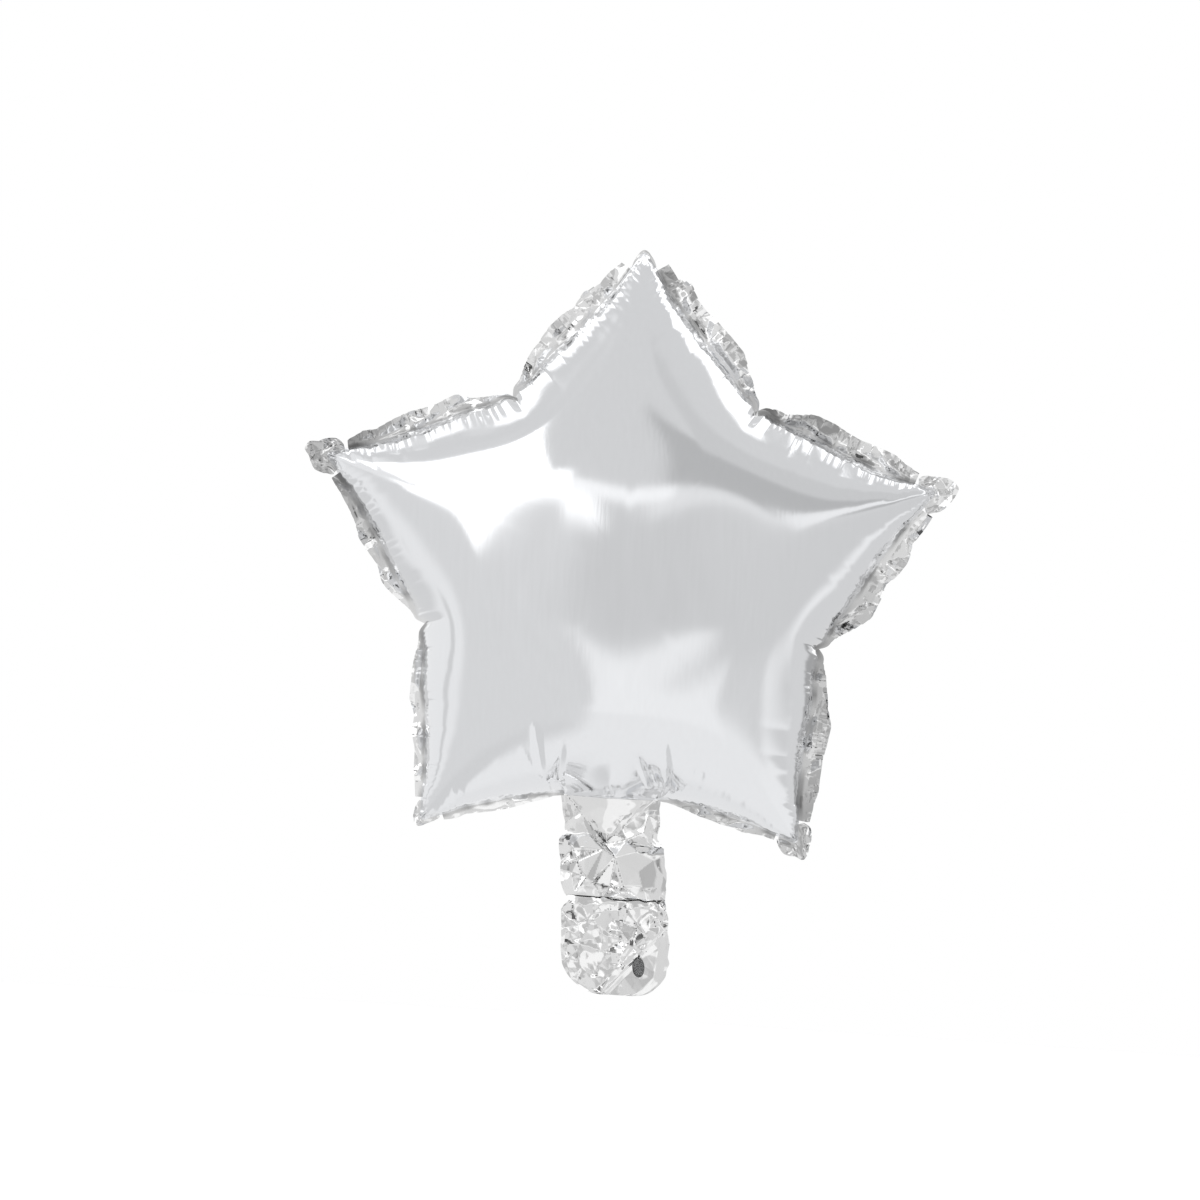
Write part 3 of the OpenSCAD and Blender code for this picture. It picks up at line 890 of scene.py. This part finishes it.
def new_material(name):
    material = bpy.data.materials.new(name)
    material.use_nodes = True
    shader = material.node_tree.nodes["Principled BSDF"]
    return material, material.node_tree, shader


def place_of(tree):
    return tree.nodes.new("ShaderNodeTexCoord").outputs["Object"]


def cloud(tree, place, scale, detail=2.0):
    node = tree.nodes.new("ShaderNodeTexNoise")
    node.inputs["Scale"].default_value = scale
    node.inputs["Detail"].default_value = detail
    tree.links.new(place, node.inputs["Vector"])
    return node.outputs["Fac"]


def tint(tree, fac, low, high, span=(0.0, 1.0)):
    """A colour that runs from low to high over a span of fac."""
    node = tree.nodes.new("ShaderNodeValToRGB")
    for element, at, colour in zip(node.color_ramp.elements, span, (low, high)):
        element.position = at
        element.color = (*colour, 1)
    tree.links.new(fac, node.inputs["Fac"])
    return node.outputs["Color"]


def foil_material(name, colour, roughness, grain, faceted=False):
    """Metallised film: faint drawn streaks, a slight haze and a fine pebbled surface, and if faceted, each
    facet's painted reflection.
    """
    material, tree, shader = new_material(name)
    nodes, link = tree.nodes, tree.links.new
    shader.inputs["Metallic"].default_value = 1.0
    place = place_of(tree)
    streak_map = nodes.new("ShaderNodeMapping")
    streak_map.inputs["Scale"].default_value = (900, 900, 60)
    link(place, streak_map.inputs["Vector"])
    streaks = cloud(tree, streak_map.outputs["Vector"], 1.0, 3.0)
    haze = cloud(tree, place, 60.0)
    base = tint(tree, streaks, [c * 0.985 for c in colour], colour, (0.3, 0.7))
    # painted reflection: each facet's painted light and shade multiplies the foil's colour
    if faceted:
        facets = nodes.new("ShaderNodeAttribute")
        facets.attribute_name = "painted_facet_reflection"
        painted_light = nodes.new("ShaderNodeMix")
        painted_light.data_type = "RGBA"
        painted_light.blend_type = "MULTIPLY"
        painted_light.inputs["Factor"].default_value = 1.0
        link(base, painted_light.inputs["A"])
        link(facets.outputs["Color"], painted_light.inputs["B"])
        base = painted_light.outputs["Result"]
    link(base, shader.inputs["Base Color"])
    rough = nodes.new("ShaderNodeMapRange")
    rough.inputs["To Min"].default_value = roughness * 0.75
    rough.inputs["To Max"].default_value = roughness * 1.3
    link(haze, rough.inputs["Value"])
    link(rough.outputs["Result"], shader.inputs["Roughness"])
    bump = nodes.new("ShaderNodeBump")
    bump.inputs["Strength"].default_value = grain
    bump.inputs["Distance"].default_value = 0.0002
    link(streaks, bump.inputs["Height"])
    link(bump.outputs["Normal"], shader.inputs["Normal"])
    return material


def film_material():
    """Clear polyethylene film."""
    material, tree, shader = new_material("valve_film")
    colour = tint(tree, cloud(tree, place_of(tree), 120.0), (0.84, 0.86, 0.88), (0.96, 0.97, 0.98))
    tree.links.new(colour, shader.inputs["Base Color"])
    shader.inputs["Roughness"].default_value = 0.18
    shader.inputs["Alpha"].default_value = 0.07
    return material


# ---- camera, floor and light ----

VIEW_W = 408.7          # width of the view in the seam plane
CAMERA_Y = 2600.0
SENSOR_W = 36
STAR_ROLL_DEG = 3.6     # the star leans this far clockwise in the view
STAR_AT = (8.5, 9.5)    # the star's centre, right of and above the middle of the view


def place_camera():
    data = bpy.data.cameras.new("camera")
    data.sensor_width = SENSOR_W
    data.lens = SENSOR_W * CAMERA_Y / VIEW_W
    data.clip_start, data.clip_end = 0.05, 100
    camera = bpy.data.objects.new("camera", data)
    bpy.context.scene.collection.objects.link(camera)
    roll = math.radians(STAR_ROLL_DEG)
    right = Vector((math.cos(roll), 0, math.sin(roll)))
    up = Vector((-math.sin(roll), 0, math.cos(roll)))
    middle = Vector((0, 0, CENTRE_Z)) - right * STAR_AT[0] - up * STAR_AT[1]
    back = Vector((0, -1, 0))
    camera.matrix_world = Matrix.Translation((middle + back * CAMERA_Y) * MM) @ Matrix(
        (right, up, back)).transposed().to_4x4()
    bpy.context.scene.camera = camera


# The studio's walls, by the way the foil's reflection leaves it: right and up are degrees from straight
# back towards the camera. A zone is [right, up, half width, half height, turn, soft edge, brightness],
# and its brightness is the tone that the foil shows there.
WALL = 0.81
ZONES = [
    (-76, 42, 12, 28, 0, 12, 0.89),         # left side
    (-52, -20, 34, 30, 0, 12, 0.83),
    (24, -76, 32, 33, 0, 9, 0.90),          # table top, below
    (75, -41, 8, 28, -50, 8, 0.91),
    (9, -30, 18, 14, 0, 4, 0.92),
    (6, 0, 12, 11, 0, 7, 0.785),            # middle
    (62, -8, 38, 16, 0, 10, 0.795),
    (28, 19, 2.5, 24, -83, 4, 0.88),
    (40, 34, 34, 12, 0, 4, 0.70),           # dark card, upper right
    (48, 54, 25, 8, 0, 6, 0.775),
    (135, 58, 26, 10, 0, 6, 0.77),
    (68, 34, 3, 26, -53, 3, 0.92),          # pale edge under it
    (0, 106, 50, 17, 0, 4, 1.1),            # white back wall, above
    (90, 66, 14, 24, 0, 3, 1.08),           # white, right
    (135, 33, 7, 34, 70, 4, 1.06),
    (-130, 35, 26, 11, 0, 4, 1.0),          # and left
    (-92, 112, 28, 22, 20, 8, 1.08),        # white, upper left and right
    (88, 112, 32, 22, -20, 8, 1.08),
    (-50, 112, 3, 22, 0, 4, 0.84),
    (55, 112, 3, 22, 0, 4, 0.80),
    (148, -26, 12, 22, 0, 8, 0.62),         # doorway, right behind
    (-135, -14, 46, 24, 0, 14, 0.895),
    (-101, -19, 2, 16, 0, 3, 0.80),
    (0, -140, 60, 26, 0, 20, 0.88),
    (-46, 37, 14, 25, 28, 3, 1.15),         # key light
    (-38, 18, 25, 4, 0, 4, 1.10),
    (-10, 13, 3.5, 2.5, 0, 4, 1.04),
    (-2, 18, 8, 1, 0, 2.5, 0.98),
]
STREAK = 0.02           # faint upright streaks reflected in the middle of the star
WALL_R = 6000.0
FOIL_TONE = 0.88        # what the foil keeps of what it reflects


def wall_tone(direction):
    """Brightness of the studio's wall in each direction from the star."""
    angle = np.degrees(np.arccos(np.clip(-direction[:, 1], -1, 1)))
    flat = np.hypot(direction[:, 0], direction[:, 2]) + 1e-9
    right, up = angle * direction[:, 0] / flat, angle * direction[:, 2] / flat
    tone = np.full(len(direction), WALL)
    for x, y, half_w, half_h, turn_deg, soft, value in ZONES:
        c, s = math.cos(math.radians(turn_deg)), math.sin(math.radians(turn_deg))
        across = abs((right - x) * c + (up - y) * s) - half_w
        along = abs((up - y) * c - (right - x) * s) - half_h
        away = np.hypot(np.maximum(across, 0), np.maximum(along, 0))
        tone += (value - tone) * (1 - smooth_step(away / soft))
    streaks = np.array([noise.noise(Vector((x / 2.2, y / 16, 3))) for x, y in zip(right, up)])
    return tone + STREAK * streaks * np.clip(1.6 - np.hypot(right, up) / 30, 0, 1)


def build_studio():
    """White surroundings for the camera, and walls of soft light and shade that only the foil sees."""
    world = bpy.data.worlds.new("studio")
    world.use_nodes = True
    world.node_tree.nodes["Background"].inputs["Color"].default_value = (1, 1, 1, 1)
    world.node_tree.nodes["Background"].inputs["Strength"].default_value = 1.0
    bpy.context.scene.world = world

    around, up = np.linspace(0, 2 * math.pi, 361), np.linspace(-math.pi / 2, math.pi / 2, 181)
    a, u = np.meshgrid(around, up, indexing="ij")
    direction = np.stack([np.cos(u) * np.cos(a), np.cos(u) * np.sin(a), np.sin(u)], -1).reshape(-1, 3)
    wall = make_mesh("studio_wall", direction * WALL_R + [0, 0, CENTRE_Z], grid_faces(361, 181))
    tone = wall_tone(direction) ** 2.2 / FOIL_TONE
    colours = np.repeat(tone[:, None], 4, 1)
    colours[:, 3] = 1
    wall.data.attributes.new("tone", "FLOAT_COLOR", "POINT").data.foreach_set("color", colours.ravel())
    material = bpy.data.materials.new("studio_wall")
    material.use_nodes = True
    nodes = material.node_tree.nodes
    nodes.clear()
    tone_node = nodes.new("ShaderNodeAttribute")
    tone_node.attribute_name = "tone"
    glow = nodes.new("ShaderNodeEmission")
    end = nodes.new("ShaderNodeOutputMaterial")
    material.node_tree.links.new(tone_node.outputs["Color"], glow.inputs["Color"])
    material.node_tree.links.new(glow.outputs["Emission"], end.inputs["Surface"])
    wall.data.materials.append(material)
    wall.visible_camera = False
    wall.visible_shadow = False


FLOOR_Z = -250.0
FLOOR_R = 3200.0
LAMP_Z_M, LAMP_SIZE_M, LAMP_W = 3.5, 7.0, 90.0


def build_floor():
    """A pale disc, lit from above by a lamp that the foil doesn't see."""
    around = np.linspace(0, 2 * math.pi, 181)[:-1]
    rings = np.linspace(0.02, 1, 12)[:, None] * FLOOR_R
    x, y = rings * np.cos(around), rings * np.sin(around)
    points = np.stack([x, y, 0 * x + FLOOR_Z], -1)
    count = len(around)
    faces = [list(range(count))]
    faces += [
        [r * count + k, (r + 1) * count + k, (r + 1) * count + (k + 1) % count, r * count + (k + 1) % count]
        for r in range(len(rings) - 1) for k in range(count)
    ]
    floor = make_mesh("floor", points.reshape(-1, 3), faces)
    material, tree, shader = new_material("floor_paper")
    colour = tint(tree, cloud(tree, place_of(tree), 1.5), (0.90, 0.90, 0.90), (0.94, 0.94, 0.94))
    tree.links.new(colour, shader.inputs["Base Color"])
    shader.inputs["Roughness"].default_value = 0.9
    shader.inputs["Specular IOR Level"].default_value = 0.0
    floor.data.materials.append(material)
    floor.visible_glossy = False

    light = bpy.data.lights.new("floor_light", "AREA")
    light.shape = "DISK"
    light.size = LAMP_SIZE_M
    light.energy = LAMP_W
    lamp = bpy.data.objects.new("floor_light", light)
    bpy.context.scene.collection.objects.link(lamp)
    lamp.location = (0, 0, LAMP_Z_M)
    lamp.visible_camera = False
    lamp.visible_glossy = False


place_camera()
build_studio()
build_floor()
bpy.context.scene.view_settings.view_transform = "Standard"

STAR_FOIL = foil_material("star_foil", (0.88, 0.89, 0.91), 0.1, 0.05)
# the crumpled foil's colour takes each facet's painted reflection
CRUMPLED_FOIL = foil_material("crumpled_foil", (0.9, 0.9, 0.9), 0.1, 0.1, faceted=True)
FILM = film_material()


def place_piece(piece, node, material, body):
    """Fixes a piece to a body, in place of a CAD node."""
    piece.data.materials.append(material)
    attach(piece, body)
    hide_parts(node)


fit = fit_star()
front_dome, front_seam = build_panel(fit, front=True)
rear_dome, rear_seam = build_panel(fit, front=False)
place_piece(front_dome, "front_panel", STAR_FOIL, "star")
place_piece(rear_dome, "rear_panel", STAR_FOIL, "star")

for place, (side, half, share, painted_tones) in MARGINS.items():
    margin = build_margin(side, half, *front_seam[side], f"foil_margin_{place}", share, painted_tones)
    place_piece(margin, f"margin_{place}", CRUMPLED_FOIL, "star")

for arm, place in enumerate(ARM_NAMES):
    tab = build_tab(arm, front_seam, f"foil_tab_{place}")
    place_piece(tab, f"tip_tab_{place}", CRUMPLED_FOIL, "star")

neck_height, leaf_height = tail_fold()
neck_grid, leaf_grid = tail_grid(0, NECK_END), tail_grid(LEAF_START, TAIL_END)
neck_film_grid = tail_grid(0.3, PLEAT, FILM_INSET)
leaf_film_grid = tail_grid(PLEAT, TAIL_END - WELD_W - 1, FILM_INSET)


def tail_pieces(part, weld, height, grid, film_grid, weld_range, last):
    """The five pieces of the neck or the leaf, by the CAD nodes that they replace."""
    return {
        f"{part}_front_sheet": tail_sheet(f"foil_{part}_front", height, grid, True, hole=last),
        f"{part}_rear_sheet": tail_sheet(f"foil_{part}_rear", height, grid, False),
        f"{part}_edge_{weld}": edge_welds(f"foil_{part}_{weld}", height, *weld_range, last),
        f"valve_film_front_{part}": tail_film(f"film_{part}_front", height, film_grid, True, hole=last),
        f"valve_film_rear_{part}": tail_film(f"film_{part}_rear", height, film_grid, False),
    }


NECK_PIECES = tail_pieces(
    "neck", "welds", neck_height, neck_grid, neck_film_grid, (4.0, NECK_END - 0.2), False)
LEAF_PIECES = tail_pieces(
    "leaf", "weld", leaf_height, leaf_grid, leaf_film_grid, (LEAF_START + 0.2, TAIL_END), True)
for pieces, upper, lower, z0, z1 in (
    (NECK_PIECES, "star", "neck", 0.0, -NECK_BLEND),
    (LEAF_PIECES, "neck", "leaf", PLEAT_Z + PLEAT_BLEND, PLEAT_Z - PLEAT_BLEND),
):
    for node, piece in pieces.items():
        film = node.startswith("valve_film")
        piece.data.materials.append(FILM if film else CRUMPLED_FOIL)
        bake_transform(piece)
        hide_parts(node)

for face in ("front", "rear"):
    node = f"valve_film_{face}"
    piece = star_film(f"film_star_{face}", node, face == "front")
    place_piece(piece, node, FILM, f"valve_{face}")
